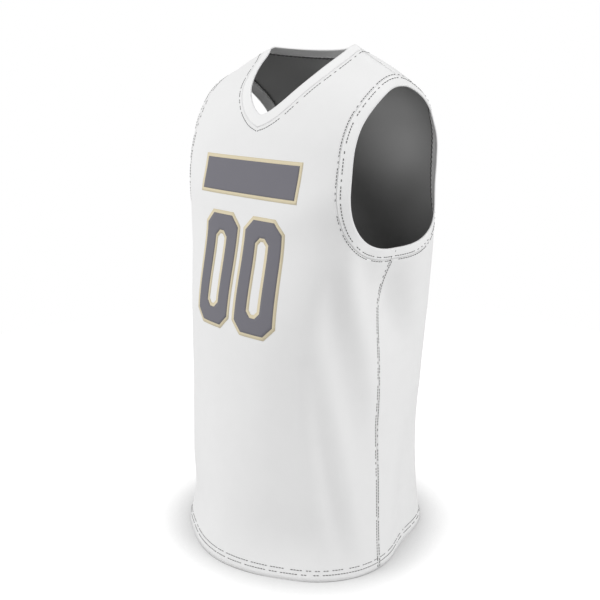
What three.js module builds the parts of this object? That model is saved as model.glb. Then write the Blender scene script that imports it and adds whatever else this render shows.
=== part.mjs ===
// Sleeveless V-neck sports jersey, filled out and open at neck, armholes and hem.
// Millimetres, +Z up, the front faces -Y, the wearer's left is +X.
// The origin is the point between the shoulders that holds the jersey up.
import * as THREE from 'three';

// ---- driving sizes -------------------------------------------------------
const LENGTH = 746;            // neck point to hem
const CLOTH = 1.2;             // panel wall
const BAND_CLOTH = 1.8;        // folded rib of the neck and arm bands
const HEM_CLOTH = 2.4;         // turned-up hem, two layers
const HEM_DEPTH = 20;          // height of the turned-up hem
const BAND_WIDTH = 17;         // finished width of neck and arm bands
const SEAM_GAP = 0.3;          // between neighbouring pieces
const V_DROP = 94;             // neck point down to the inner point of the V
const BACK_NECK_DROP = 5;      // neck point down to the back neck edge
const NECK_HALF = 82;          // half width of the neck opening at the shoulder
const V_SWELL = 0.32;          // how much wider than straight the V opens near its point
const V_POWER = 1.42;          // how the V's side curves, 1 for straight
const BACK_POWER = 2.2;        // how flat the back neck runs at its middle
const ARM_TOP = -54;           // top of the armhole opening
const ARM_FOOT = -268;         // bottom of the armhole opening
const ARM_LEVEL = -172;        // level where the armhole opening is widest
const ARM_FRONT = 0.86;        // how far the opening runs forward, in section steps
const ARM_BACK = 0.91;         // how far it runs back
const ARM_FRONT_POWER = { above: 2.75, below: 2.3 };  // squareness of its front half
const ARM_BACK_POWER = { above: 2.3, below: 2.5 };    // squareness of its back half
const SEAM_STEP = 2;           // side and shoulder seams run down this section step
const FILM = 0.6;              // cut twill of number and bar
const FACE_GAP = 0.5;          // between the pale edging and the grey face on it
const OUTLINE = 5;             // width of the pale outline round number and bar

// Plain bar on the chest: levels of its face, its half width and its height off the panel.
const BAR = { low: -201, high: -156, half: 97, lift: 0.7 };
// Block noughts below it: level of their middle, sizes of the face and height off the panel.
const FIGURE = {
  level: -312, middle: 44.5, halfWide: 36, halfHigh: 78, stroke: 23, cut: 15, innerCut: 8.25, lift: 1.2,
};
const CUT_GROWTH = 0.59;       // how much a cut corner grows with its edge, for an even outline

// ---- numbers of facets ---------------------------------------------------
const COLUMNS = 8;             // centre line to the front or back of the armhole
const ARC_COLUMNS = 4;         // under the armhole
const BODY_ROWS = 17;          // hem to the curve under the arm
const CHEST_ROWS = 8;          // armhole foot to neck corner
const STRAP_ROWS = 9;          // neck corner to shoulder
const BAND_COLUMNS = 2;        // across a band
const BAR_COLUMNS = 16;        // along the bar
const BAR_ROWS = 3;            // up the bar
const LOOP_COLUMNS = [1, 3, 1, 6];  // cut corner, top, cut corner, side of a block nought
const HEM_STEP = 1.5;          // height over which the hem's second layer ends
const WALK_STEP = 3;           // longest step of a walk over the form
const HALVINGS = 40;           // when a place on the form is searched for

// ---- plan sections, one row for each level -------------------------------
// front: centre front Y. fx, fy: front quarter. sx, sy: side or shoulder ridge.
// bx, by: back quarter. back: centre back Y.
const SECTION_COLUMNS = ['z', 'front', 'fx', 'fy', 'sx', 'sy', 'bx', 'by', 'back'];
const SECTIONS = [
  [-746, -200, 133, -149, 187, -41, 132, 122, 184],
  [-706, -188, 130, -139, 181, -38, 130, 115, 172],
  [-626, -179, 129, -139, 174, -34, 129, 108, 158],
  [-496, -168, 126, -137, 162, -26, 126, 118, 158],
  [-366, -160, 129, -132, 158, -18, 128, 128, 161],
  [-266, -139, 148, -114, 179, -13, 150, 103, 128],
  [-186, -125, 157, -105, 190, -9, 161, 84, 104],
  [-106, -103, 150, -86, 184, -5, 157, 82, 102],
  [-61, -80, 138, -56, 177, -2, 144, 62, 88],
  [-41, -66, 122, -36, 161, -2, 124, 46, 74],
  [-20, -47, 96, -20, 123, -2, 97, 30, 57],
  [-8, -30, 75, -13, 98, -1, 77, 20, 43],
  [0, -20, 60, -8, 82, 1, 62, 14, 32],
  [12, -8, 36, -4, 48, 1, 38, 8, 18],
].map((row) => Object.fromEntries(row.map((v, i) => [SECTION_COLUMNS[i], v])));

// ---- largest folds, one row each -------------------------------------------
// u0, z0, u1, z1: ends in section steps and levels. bow: how far the middle of the line
// swings aside. width: half width. depth: a ridge above 0, a trough below 0.
// side: 1 for the wearer's left, -1 for the right.
const FOLD_COLUMNS = ['u0', 'z0', 'u1', 'z1', 'bow', 'width', 'depth', 'side'];
const FOLDS = [
  [1.22, -275, 1.93, -500, -14, 17, 7.5, 1],
  [1.02, -250, 1.74, -575, -6, 24, -8, 1],
  [1.12, -430, 1.47, -720, 0, 17, -7.5, 1],
  [1.36, -480, 1.62, -700, 0, 17, 4, 1],
  [1.98, -285, 2.40, -430, 4, 22, -12, 1],
  [1.50, -262, 1.86, -345, 0, 20, -7, 1],
  [2.42, -285, 2.62, -440, 0, 22, 6, 1],
  [0.80, -360, 0.80, -800, 0, 42, -5, 1],
  [0.30, -245, 1.15, -168, 0, 30, 4, 1],
  [2.72, -540, 2.45, -800, 0, 26, -12, 1],
  [3.15, -560, 3.10, -800, 0, 34, 2, 1],
  [3.30, -330, 3.55, -800, 8, 34, -6, 1],
  [2.90, -150, 3.50, -260, -6, 26, 3.5, 1],
  [1.45, -35, 1.25, -135, 0, 38, 10, -1],
  [1.28, -290, 1.88, -470, -11, 18, 6, -1],
  [1.10, -300, 1.66, -600, -5, 22, -6.5, -1],
  [1.78, -290, 2.20, -400, 0, 24, -8, -1],
  [1.20, -470, 1.38, -760, 0, 18, -5, -1],
  [2.50, -300, 2.66, -470, 0, 22, 4.5, -1],
  [0.62, -420, 0.66, -800, 0, 36, -3, -1],
  [0.25, -235, 1.10, -160, 0, 28, 3, -1],
  [3.42, -420, 3.30, -800, -6, 30, -5, -1],
  [3.00, -500, 2.95, -800, 0, 30, 6, -1],
  [2.62, -520, 2.50, -800, 0, 24, -8, -1],
  [2.85, -165, 3.60, -240, 5, 28, 3, -1],
].map((row) => Object.fromEntries(row.map((v, i) => [FOLD_COLUMNS[i], v])));
const FOLD_FADE = 0.06;        // how far short of its ends a fold is still open
const FOLD_BLUNT = 0.7;        // how bluntly it ends, lower for blunter

// Cloth from centre front to each section step, for placing the folds.
const GIRTH = [0, 150, 255, 360, 510];

// ---- small maths ---------------------------------------------------------
const vec = (x, y, z) => new THREE.Vector3(x, y, z);
const mix = (a, b, t) => a + (b - a) * t;
const clamp = (v, lo, hi) => Math.min(hi, Math.max(lo, v));

// Smooth value of one column at level z: cubic through the rows.
function column(name, z) {
  const rows = SECTIONS;
  let i = 0;
  while (i < rows.length - 2 && z > rows[i + 1].z) i += 1;
  const slope = (k) => {
    const lo = Math.max(0, k - 1);
    const hi = Math.min(rows.length - 1, k + 1);
    if (lo === k || hi === k) return (rows[hi][name] - rows[lo][name]) / (rows[hi].z - rows[lo].z);
    const h0 = rows[k].z - rows[lo].z;
    const h1 = rows[hi].z - rows[k].z;
    const d0 = (rows[k][name] - rows[lo][name]) / h0;
    const d1 = (rows[hi][name] - rows[k][name]) / h1;
    return (d0 * h1 + d1 * h0) / (h0 + h1);
  };
  const h = rows[i + 1].z - rows[i].z;
  const t = (z - rows[i].z) / h;
  return hermite(rows[i][name], rows[i + 1][name], slope(i) * h, slope(i + 1) * h, t);
}

function hermite(a, b, ma, mb, t) {
  const t2 = t * t;
  const t3 = t2 * t;
  return a * (2 * t3 - 3 * t2 + 1) + ma * (t3 - 2 * t2 + t) + b * (3 * t2 - 2 * t3) + mb * (t3 - t2);
}

// The five plan points of a level, mirrored past centre front and centre back.
function planPoint(step, z) {
  const k = step < 0 ? -step : step > 4 ? 8 - step : step;
  const side = step < 0 || step > 4 ? -1 : 1;
  const x = [0, column('fx', z), column('sx', z), column('bx', z), 0][k];
  const y = [column('front', z), column('fy', z), column('sy', z), column('by', z), column('back', z)][k];
  return [side * x, y];
}

// The form of the body: u runs 0 centre front, 2 side or ridge, 4 centre back.
function form(u, z) {
  const i = clamp(Math.floor(u), 0, 3);
  const t = u - i;
  const [p0, p1, p2, p3] = [i - 1, i, i + 1, i + 2].map((k) => planPoint(k, z));
  const along = (n) => hermite(p1[n], p2[n], (p2[n] - p0[n]) / 2, (p3[n] - p1[n]) / 2, t);
  return vec(along(0), along(1), z);
}

// Small steps for slopes: in section steps, in level and along an edge.
const STEP_U = 1e-3;
const STEP_Z = 0.2;
const STEP_EDGE = 2e-3;
const alongU = (u, z) => form(u + STEP_U, z).sub(form(u - STEP_U, z)).divideScalar(2 * STEP_U);
const alongZ = (u, z) => form(u, z + STEP_Z).sub(form(u, z - STEP_Z)).divideScalar(2 * STEP_Z);
const outward = (u, z) => alongU(u, z).cross(alongZ(u, z)).normalize();

const girthAt = (u) => {
  const i = clamp(Math.floor(u), 0, GIRTH.length - 2);
  return mix(GIRTH[i], GIRTH[i + 1], u - i);
};

// How far one fold lifts the cloth at a girth and level.
function foldLift(fold, s, z) {
  const start = girthAt(fold.u0);
  const [ds, dz] = [girthAt(fold.u1) - start, fold.z1 - fold.z0];
  const length = Math.hypot(ds, dz);
  const t = ((s - start) * ds + (z - fold.z0) * dz) / length ** 2;
  const within = clamp(t, 0, 1);
  const beyond = (t - within) * length;
  const aside = ((s - start) * dz - (z - fold.z0) * ds) / length - fold.bow * 4 * within * (1 - within);
  const fade = Math.sin(Math.PI * mix(FOLD_FADE, 1 - FOLD_FADE, within)) ** FOLD_BLUNT;
  return fold.depth * fade * Math.exp(-((aside ** 2 + beyond ** 2) / fold.width ** 2));
}

// How far all folds lift the cloth. Those of the other half reach over the centre lines.
function relief(u, z, side) {
  const s = girthAt(u);
  return FOLDS.reduce((sum, fold) => (
    sum + (fold.side === side ? foldLift(fold, s, z)
      : foldLift(fold, -s, z) + foldLift(fold, 2 * GIRTH[4] - s, z))), 0);
}

// Walks a distance over the form in a direction given in space.
function walk(point, direction, distance) {
  let [u, z] = point;
  const steps = Math.max(1, Math.ceil(Math.abs(distance) / WALK_STEP));
  for (let s = 0; s < steps; s += 1) {
    const a = alongU(u, z);
    const b = alongZ(u, z);
    const [aa, ab, bb] = [a.dot(a), a.dot(b), b.dot(b)];
    const [da, db] = [a.dot(direction), b.dot(direction)];
    const det = aa * bb - ab * ab;
    u += ((da * bb - db * ab) / det) * (distance / steps);
    z += ((db * aa - da * ab) / det) * (distance / steps);
  }
  return [u, z];
}

// The point of the form beside an edge, a distance to the right of its run seen from outside.
function beside(edge, t, distance) {
  const tangent = form(...edge(t + STEP_EDGE)).sub(form(...edge(t - STEP_EDGE))).normalize();
  const right = tangent.cross(outward(...edge(t))).normalize();
  return walk(edge(t), right, distance);
}

// ---- edges of the openings ----------------------------------------------
// Armhole opening edge: turn 0 is the top, 0.5 the foot, the front side first.
function armEdge(turn) {
  const angle = 2 * Math.PI * turn;
  const s = Math.sin(angle);
  const c = Math.cos(angle);
  const powers = s >= 0 ? ARM_FRONT_POWER : ARM_BACK_POWER;
  const power = c >= 0 ? powers.above : powers.below;
  const k = (Math.abs(c) ** power + Math.abs(s) ** power) ** (-1 / power);
  const reach = s >= 0 ? -ARM_FRONT : ARM_BACK;
  const z = ARM_LEVEL + c * k * (c >= 0 ? ARM_TOP - ARM_LEVEL : ARM_LEVEL - ARM_FOOT);
  return [SEAM_STEP + reach * Math.abs(s) * k, z];
}

// Neck opening edge: 0 is the point of the V, 1 the shoulder, 2 the centre back.
function neckEdge(t) {
  if (t < 0) return [-neckEdge(-t)[0], neckEdge(-t)[1]];
  if (t > 2) return [8 - neckEdge(4 - t)[0], neckEdge(4 - t)[1]];
  if (t <= 1) {
    const z = -V_DROP + V_DROP * t ** V_POWER;
    return [uAtX(NECK_HALF * t * (1 + V_SWELL * (1 - t)), z, 0, 2), z];
  }
  const s = 2 - t;
  const z = -BACK_NECK_DROP + BACK_NECK_DROP * s ** BACK_POWER;
  return [uAtX(NECK_HALF * s, z, 2, 4), z];
}

// The u at which the form has this half width at level z.
function uAtX(x, z, lo, hi) {
  const rising = hi <= 2;
  for (let i = 0; i < HALVINGS; i += 1) {
    const mid = (lo + hi) / 2;
    if (form(mid, z).x < x === rising) lo = mid;
    else hi = mid;
  }
  return (lo + hi) / 2;
}

// ---- thin walls ----------------------------------------------------------
// A sheet is a list of form points with quads; it is closed into a wall between
// two lifts off the form.
class Sheet {
  constructor() {
    this.points = [];
    this.faces = [];
  }

  add([u, z], flip = false, inner = 0) {
    this.points.push({ u, z, flip, inner });
    return this.points.length - 1;
  }

  // Rows of form points become quads; a mirrored copy turns over. Points that the
  // other half already has at the same place on the centre line are shared.
  grid(rows, flip = false, inner = () => 0, shared = new Map()) {
    const ids = rows.map((row) => row.map((p) => {
      const key = `${p[0].toFixed(6)},${p[1].toFixed(4)}`;
      const central = p[0] === 0 || p[0] === 4;
      if (central && shared.has(key)) return shared.get(key);
      const id = this.add(p, flip, inner(p[1]));
      if (central) shared.set(key, id);
      return id;
    }));
    for (let r = 0; r + 1 < ids.length; r += 1) {
      for (let c = 0; c + 1 < Math.min(ids[r].length, ids[r + 1].length); c += 1) {
        const quad = [ids[r][c], ids[r][c + 1], ids[r + 1][c + 1], ids[r + 1][c]];
        this.faces.push(flip ? [quad[0], quad[3], quad[2], quad[1]] : quad);
      }
    }
    return ids;
  }

  wall(outer, inner) {
    const place = ({ u, z, flip }, lift) => {
      const p = form(u, z).addScaledVector(outward(u, z), lift + relief(u, z, flip ? -1 : 1));
      if (flip) p.x = -p.x;
      return [p.x, p.y, p.z];
    };
    const n = this.points.length;
    const top = this.points.map((p) => place(p, outer));
    const under = this.points.map((p) => place(p, inner - p.inner));
    const triangles = [];
    const sides = new Map();
    for (const face of this.faces) {
      const [a, b, c, d] = face;
      triangles.push([a, b, c], [a, c, d], [n + a, n + c, n + b], [n + a, n + d, n + c]);
      face.forEach((p, i) => {
        const q = face[(i + 1) % 4];
        if (sides.has(`${q},${p}`)) sides.delete(`${q},${p}`);
        else sides.set(`${p},${q}`, [p, q]);
      });
    }
    for (const [p, q] of sides.values()) triangles.push([q, p, n + p], [q, n + p, n + q]);
    const geometry = new THREE.BufferGeometry();
    geometry.setAttribute('position', new THREE.Float32BufferAttribute([...top, ...under].flat(), 3));
    geometry.setIndex(triangles.flat());
    geometry.computeVertexNormals();
    return geometry;
  }
}

// ---- edges shared by neighbouring pieces --------------------------------
const spread = (count, f) => Array.from({ length: count + 1 }, (_, i) => f(i / count));

// Armhole edge a distance outside the opening, at a turn from its top. Top and foot
// stay on the seams.
function armLine(turn, distance) {
  const point = beside(armEdge, turn, distance);
  return turn === 0 || turn === 0.5 || turn === 1 ? [SEAM_STEP, point[1]] : point;
}

// Neck edge a distance outside the opening. At the V both sides are mitred.
const AT_END = 1e-6;
const MITRE_STOPS = [0.02, 0.06];

function neckLine(t, distance) {
  if (t === 1) return [SEAM_STEP, beside(neckEdge, t, distance)[1]];
  if (t > 2 - AT_END) return [4, beside(neckEdge, 2, distance)[1]];
  if (t > AT_END) return beside(neckEdge, t, distance);
  const [near, far] = MITRE_STOPS.map((stop) => beside(neckEdge, stop, distance));
  return [0, near[1] - (near[0] * (far[1] - near[1])) / (far[0] - near[0])];
}

// A row of form points between two edges.
const rowBetween = (a, b, count) => spread(count, (k) => [mix(a[0], b[0], k), mix(a[1], b[1], k)]);

// Turns at which panel and band meet, foot to top: under the arm, beside the chest and
// along the strap.
const ARC_TURN = { front: 0.385, back: 0.375 };
const STRAP_TURN = { front: 0.155, back: 0.085 };
const armTurns = (arc, start) => [
  ...spread(ARC_COLUMNS, (k) => mix(0.5, arc, k)),
  ...spread(CHEST_ROWS, (k) => mix(arc, start, k)).slice(1),
  ...spread(STRAP_ROWS, (k) => mix(start, 0, k)).slice(1),
];
const FRONT_TURNS = armTurns(ARC_TURN.front, STRAP_TURN.front);
const BACK_TURNS = armTurns(ARC_TURN.back, STRAP_TURN.back).map((t) => 1 - t);

// Half the seam gap as a share of a section step.
const gapStep = (u, z) => SEAM_GAP / 2 / alongU(u, z).length();

// ---- panels --------------------------------------------------------------
const PANEL_EDGE = BAND_WIDTH + SEAM_GAP;

// Rows of one half panel, hem to shoulder, from the centre line to the side.
function panelRows(isFront) {
  const centre = isFront ? 0 : 4;
  const toward = isFront ? -1 : 1;
  const seam = (z) => SEAM_STEP + toward * gapStep(SEAM_STEP, z);
  const hold = ([u, z]) => [isFront ? Math.min(u, seam(z)) : Math.max(u, seam(z)), z];
  const armSide = (isFront ? FRONT_TURNS : BACK_TURNS).map((t) => hold(armLine(t, PANEL_EDGE)));
  const arc = armSide.slice(0, ARC_COLUMNS + 1).reverse();
  const [arcU, arcZ] = arc[0];
  const corner = neckLine(isFront ? 0 : 2, PANEL_EDGE);
  const hemTop = -LENGTH + HEM_DEPTH + HEM_STEP;
  const tops = [...rowBetween([centre, arcZ], [arcU, arcZ], COLUMNS), ...arc.slice(1)];
  const body = [-LENGTH, -LENGTH + HEM_DEPTH, ...spread(BODY_ROWS, (k) => k)].map((k) => (
    tops.map(([u, z], i) => {
      const level = k < 0 ? k : mix(hemTop, z, k);
      return [i === tops.length - 1 ? seam(level) : u, level];
    })));
  const chest = spread(CHEST_ROWS, (k) => {
    const edge = armSide[ARC_COLUMNS + Math.round(k * CHEST_ROWS)];
    return rowBetween([centre, mix(arcZ, corner[1], k)], edge, COLUMNS);
  });
  const strap = spread(STRAP_ROWS, (k) => {
    const edge = armSide[ARC_COLUMNS + CHEST_ROWS + Math.round(k * STRAP_ROWS)];
    return rowBetween(hold(neckLine(isFront ? k : 2 - k, PANEL_EDGE)), edge, COLUMNS);
  });
  return [...body, ...chest.slice(1), ...strap.slice(1)];
}

function panel(isFront) {
  const rows = panelRows(isFront);
  const turned = (z) => (z <= -LENGTH + HEM_DEPTH ? HEM_CLOTH - CLOTH : 0);
  const sheet = new Sheet();
  const shared = new Map();
  [false, true].forEach((flip) => sheet.grid(rows, flip, turned, shared));
  if (!isFront) sheet.faces = sheet.faces.map(([a, b, c, d]) => [a, d, c, b]);
  return sheet.wall(CLOTH / 2, -CLOTH / 2);
}

// ---- bands ---------------------------------------------------------------
// One folded strip, mitred at the point of the V, round the back of the neck.
function neckband() {
  const stops = [...spread(STRAP_ROWS, (k) => k), ...spread(STRAP_ROWS, (k) => 1 + k).slice(1)];
  const mitre = (p) => [Math.max(p[0], gapStep(0, p[1])), p[1]];
  const columns = (t) => rowBetween(neckLine(t, BAND_WIDTH), neckEdge(t), BAND_COLUMNS).map((p) => (
    t > AT_END ? p : mitre(p)));
  const rows = stops.map(columns);
  const sheet = new Sheet();
  const shared = new Map();
  sheet.grid(rows, true, () => 0, shared);
  sheet.grid(rows, false, () => 0, shared);
  sheet.faces = sheet.faces.map(([a, b, c, d]) => [a, d, c, b]);
  return sheet;
}

// One folded strip round an armhole, joined in line with the side seam.
function armband(flip) {
  const turns = [...FRONT_TURNS.slice().reverse(), ...BACK_TURNS.slice(1, -1)];
  const rows = turns.map((turn) => rowBetween(armEdge(turn), armLine(turn, BAND_WIDTH), BAND_COLUMNS));
  const sheet = new Sheet();
  const ids = rows.map((row) => row.map((p) => sheet.add(p, flip)));
  ids.forEach((row, r) => {
    const next = ids[(r + 1) % ids.length];
    for (let c = 0; c < BAND_COLUMNS; c += 1) {
      const quad = [row[c], row[c + 1], next[c + 1], next[c]];
      sheet.faces.push(flip ? quad.reverse() : quad);
    }
  });
  return sheet;
}

// ---- twill laid on the front ---------------------------------------------
// A form point on the front from its width and height.
const onFront = (x, z) => [uAtX(Math.abs(x), z, 0, SEAM_STEP), z];

function patch(across, heights) {
  const sheet = new Sheet();
  const ids = heights.map((z) => across.map((x) => sheet.add(onFront(x, z), x < 0)));
  for (let r = 0; r + 1 < ids.length; r += 1) {
    for (let c = 0; c + 1 < across.length; c += 1) {
      sheet.faces.push([ids[r][c], ids[r][c + 1], ids[r + 1][c + 1], ids[r + 1][c]]);
    }
  }
  return sheet;
}

// A plain bar where a name would stand, grown all round by an edge.
function bar(grow) {
  const across = spread(BAR_COLUMNS, (k) => mix(-BAR.half - grow, BAR.half + grow, k));
  return patch(across, spread(BAR_ROWS, (k) => mix(BAR.low - grow, BAR.high + grow, k)));
}

// Corners of a block figure's outline, cut at 45 degrees, grown by an edge.
function blockLoop(middle, halfWide, halfHigh, cut, grow) {
  const [w, h, c] = [halfWide + grow, halfHigh + grow, Math.max(1, cut + grow * CUT_GROWTH)];
  const corners = [
    [w, h - c], [w - c, h], [c - w, h], [-w, h - c],
    [-w, c - h], [c - w, -h], [w - c, -h], [w, c - h],
  ];
  return corners.flatMap(([x, z], i) => {
    const [x2, z2] = corners[(i + 1) % corners.length];
    const count = LOOP_COLUMNS[i % LOOP_COLUMNS.length];
    return spread(count, (k) => [middle + mix(x, x2, k), FIGURE.level + mix(z, z2, k)]).slice(0, -1);
  });
}

// A block nought: a band between an outer and an inner loop.
function nought(middle, grow) {
  const outer = blockLoop(middle, FIGURE.halfWide, FIGURE.halfHigh, FIGURE.cut, grow);
  const inner = blockLoop(middle, FIGURE.halfWide - FIGURE.stroke, FIGURE.halfHigh - FIGURE.stroke,
    FIGURE.innerCut, -grow);
  const sheet = new Sheet();
  const ids = [outer, inner].map((ring) => ring.map(([x, z]) => sheet.add(onFront(x, z), x < 0)));
  outer.forEach((_, i) => {
    const j = (i + 1) % outer.length;
    sheet.faces.push([ids[0][i], ids[0][j], ids[1][j], ids[1][i]]);
  });
  return sheet;
}

// ---- assembly ------------------------------------------------------------
const WHITE = 0xe9e9e9;
const RIB = 0xebebeb;
const GREY = 0x76757c;
const SAND = 0xdccfb1;

const group = new THREE.Group();

function piece(name, geometry, colour) {
  const material = new THREE.MeshStandardMaterial({ color: colour, roughness: 0.85, metalness: 0 });
  const mesh = new THREE.Mesh(geometry, material);
  mesh.name = name;
  group.add(mesh);
}

piece('front_panel', panel(true), WHITE);
piece('back_panel', panel(false), WHITE);
piece('neckband', neckband().wall(BAND_CLOTH / 2, -BAND_CLOTH / 2), RIB);
piece('armband_left', armband(false).wall(BAND_CLOTH / 2, -BAND_CLOTH / 2), RIB);
piece('armband_right', armband(true).wall(BAND_CLOTH / 2, -BAND_CLOTH / 2), RIB);

// Lifts of the two faces of a layer of twill, the edging below and the face on it.
const under = (lift) => [CLOTH / 2 + lift + FILM, CLOTH / 2 + lift];
const over = (lift) => under(lift + FILM + FACE_GAP);
piece('bar_edging', bar(OUTLINE).wall(...under(BAR.lift)), SAND);
piece('bar_face', bar(0).wall(...over(BAR.lift)), GREY);
[['left', 1], ['right', -1]].forEach(([side, sign]) => {
  const middle = sign * FIGURE.middle;
  piece(`figure_${side}_edging`, nought(middle, OUTLINE).wall(...under(FIGURE.lift)), SAND);
  piece(`figure_${side}_face`, nought(middle, 0).wall(...over(FIGURE.lift)), GREY);
});

export default group;
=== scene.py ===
"""Sleeveless V-neck sports jersey, filled out with no wearer, standing on a pale floor.

The cloth is laid on one body form, a stack of plan sections, with its soft folds worked
in. Panels, bands, twill and stitches are all made from points of that form. Metres,
+Z up, the front faces -Y, the wearer's left is +X, the shoulders are at the origin.
"""

import logging
import math
from dataclasses import dataclass, field
from enum import Enum
from typing import Callable, Dict, List, Sequence, Tuple

import bpy
import numpy as np
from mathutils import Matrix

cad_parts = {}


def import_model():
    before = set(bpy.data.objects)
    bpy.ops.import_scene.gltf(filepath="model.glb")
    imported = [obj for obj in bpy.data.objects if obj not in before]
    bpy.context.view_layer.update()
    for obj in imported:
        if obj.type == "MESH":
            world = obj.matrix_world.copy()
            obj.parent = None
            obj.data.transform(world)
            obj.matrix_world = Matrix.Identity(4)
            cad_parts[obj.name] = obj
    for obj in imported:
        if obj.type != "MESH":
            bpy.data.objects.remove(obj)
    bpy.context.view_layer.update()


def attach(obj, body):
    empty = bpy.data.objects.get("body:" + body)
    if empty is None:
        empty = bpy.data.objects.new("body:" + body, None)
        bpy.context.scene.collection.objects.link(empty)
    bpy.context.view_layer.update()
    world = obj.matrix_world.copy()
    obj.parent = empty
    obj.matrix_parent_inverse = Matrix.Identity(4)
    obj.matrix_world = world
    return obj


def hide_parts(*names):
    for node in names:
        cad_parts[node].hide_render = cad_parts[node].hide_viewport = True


LOG = logging.getLogger("jersey")
MM = 0.001

# Section steps of the side seam and shoulder ridge, of the centre back, and of a whole turn.
SEAM_STEP = 2.0
BACK_STEP = 4.0
TURN_STEPS = 8

# Small steps for slopes: in section steps, in millimetres of level and along an edge.
STEP_U = 1e-3
STEP_Z = 0.2
STEP_EDGE = 2e-3
HALVINGS = 36
WALK_STEP = 3

# How far short of its ends a fold is still open.
FOLD_FADE = 0.06

# Neck stops: how near a line counts as at its end, the nearest to the V that has a run,
# and the two that the mitre is drawn through.
AT_END = 1e-6
NEAR_V = 1e-3
MITRE_STOPS = (0.02, 0.06)

Point = Tuple[float, float]
Line = Callable[[np.ndarray], np.ndarray]
Grid = np.ndarray


class Finish(Enum):
    """The finishes of the jersey, named by the slot that each belongs to."""

    CLOTH = "mesh_cloth"
    # The inside finishes repeat the white knits in darker grey: painted shade for the hollow inside.
    CLOTH_INSIDE = "mesh_cloth_inside"
    BAND = "band_cloth"
    BAND_INSIDE = "band_cloth_inside"
    EDGING = "edging_twill"
    FACE = "face_twill"
    THREAD = "stitch_thread"
    PALE_THREAD = "pale_thread"


# --------------------------------------------------------------------------- form
@dataclass(frozen=True)
class Section:
    """One level of the body form, in millimetres: plan points of the left half."""

    z: float
    front: float
    fx: float
    fy: float
    sx: float
    sy: float
    bx: float
    by: float
    back: float


SECTIONS: Tuple[Section, ...] = (
    Section(-746, -200, 133, -149, 187, -41, 132, 122, 184),
    Section(-706, -188, 130, -139, 181, -38, 130, 115, 172),
    Section(-626, -179, 129, -139, 174, -34, 129, 108, 158),
    Section(-496, -168, 126, -137, 162, -26, 126, 118, 158),
    Section(-366, -160, 129, -132, 158, -18, 128, 128, 161),
    Section(-266, -139, 148, -114, 179, -13, 150, 103, 128),
    Section(-186, -125, 157, -105, 190, -9, 161, 84, 104),
    Section(-106, -103, 150, -86, 184, -5, 157, 82, 102),
    Section(-61, -80, 138, -56, 177, -2, 144, 62, 88),
    Section(-41, -66, 122, -36, 161, -2, 124, 46, 74),
    Section(-20, -47, 96, -20, 123, -2, 97, 30, 57),
    Section(-8, -30, 75, -13, 98, -1, 77, 20, 43),
    Section(0, -20, 60, -8, 82, 1, 62, 14, 32),
    Section(12, -8, 36, -4, 48, 1, 38, 8, 18),
)


@dataclass(frozen=True)
class Fold:
    """A soft ridge (depth above 0) or trough (below 0), bowed between two places."""

    start: Point
    end: Point
    bow: float
    width: float
    depth: float
    side: int = 1
    blunt: float = 0.7


# Steps round the form against millimetres of cloth, for measuring folds.
GIRTH_STEPS = (0.0, 1.0, 2.0, 3.0, 4.0)
GIRTH_MM = (0.0, 150.0, 255.0, 360.0, 510.0)

FOLDS: Tuple[Fold, ...] = (
    # Left side: the pull from the front of the armhole, its troughs and the hollow below it.
    Fold((1.22, -275), (1.93, -500), -14, 17, 7.5),
    Fold((1.02, -250), (1.74, -575), -6, 24, -8),
    Fold((1.12, -430), (1.47, -720), 0, 17, -7.5),
    Fold((1.36, -480), (1.62, -700), 0, 17, 4),
    Fold((1.98, -285), (2.40, -430), 4, 22, -12),
    Fold((1.50, -262), (1.86, -345), 0, 20, -7),
    Fold((2.42, -285), (2.62, -440), 0, 22, 6),
    # Front: the slack below the figures and the round of the chest above them.
    Fold((0.80, -360), (0.80, -800), 0, 42, -5),
    Fold((0.30, -245), (1.15, -168), 0, 30, 4),
    # Back, left half: the flare above the hem and a long slack beside it.
    Fold((2.72, -540), (2.45, -800), 0, 26, -12),
    Fold((3.15, -560), (3.10, -800), 0, 34, 2),
    Fold((3.30, -330), (3.55, -800), 8, 34, -6),
    Fold((2.90, -150), (3.50, -260), -6, 26, 3.5),
    # Right side, a little shorter and softer, and the shoulder standing proud.
    Fold((1.45, -35), (1.25, -135), 0, 38, 10, side=-1),
    Fold((1.28, -290), (1.88, -470), -11, 18, 6, side=-1),
    Fold((1.10, -300), (1.66, -600), -5, 22, -6.5, side=-1),
    Fold((1.78, -290), (2.20, -400), 0, 24, -8, side=-1),
    Fold((1.20, -470), (1.38, -760), 0, 18, -5, side=-1),
    Fold((2.50, -300), (2.66, -470), 0, 22, 4.5, side=-1),
    Fold((0.62, -420), (0.66, -800), 0, 36, -3, side=-1),
    Fold((0.25, -235), (1.10, -160), 0, 28, 3, side=-1),
    # Back, right half.
    Fold((3.42, -420), (3.30, -800), -6, 30, -5, side=-1),
    Fold((3.00, -500), (2.95, -800), 0, 30, 6, side=-1),
    Fold((2.62, -520), (2.50, -800), 0, 24, -8, side=-1),
    Fold((2.85, -165), (3.60, -240), 5, 28, 3, side=-1),
)


def hermite(a: Grid, b: Grid, ma: Grid, mb: Grid, t: Grid) -> Grid:
    """Returns the cubic between two values.

    Args:
        a: value at 0.
        b: value at 1.
        ma: slope at 0.
        mb: slope at 1.
        t: places between them.

    Returns:
        The values at t.
    """
    t2 = t * t
    t3 = t2 * t
    return a * (2 * t3 - 3 * t2 + 1) + ma * (t3 - 2 * t2 + t) + b * (3 * t2 - 2 * t3) + mb * (t3 - t2)


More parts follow.
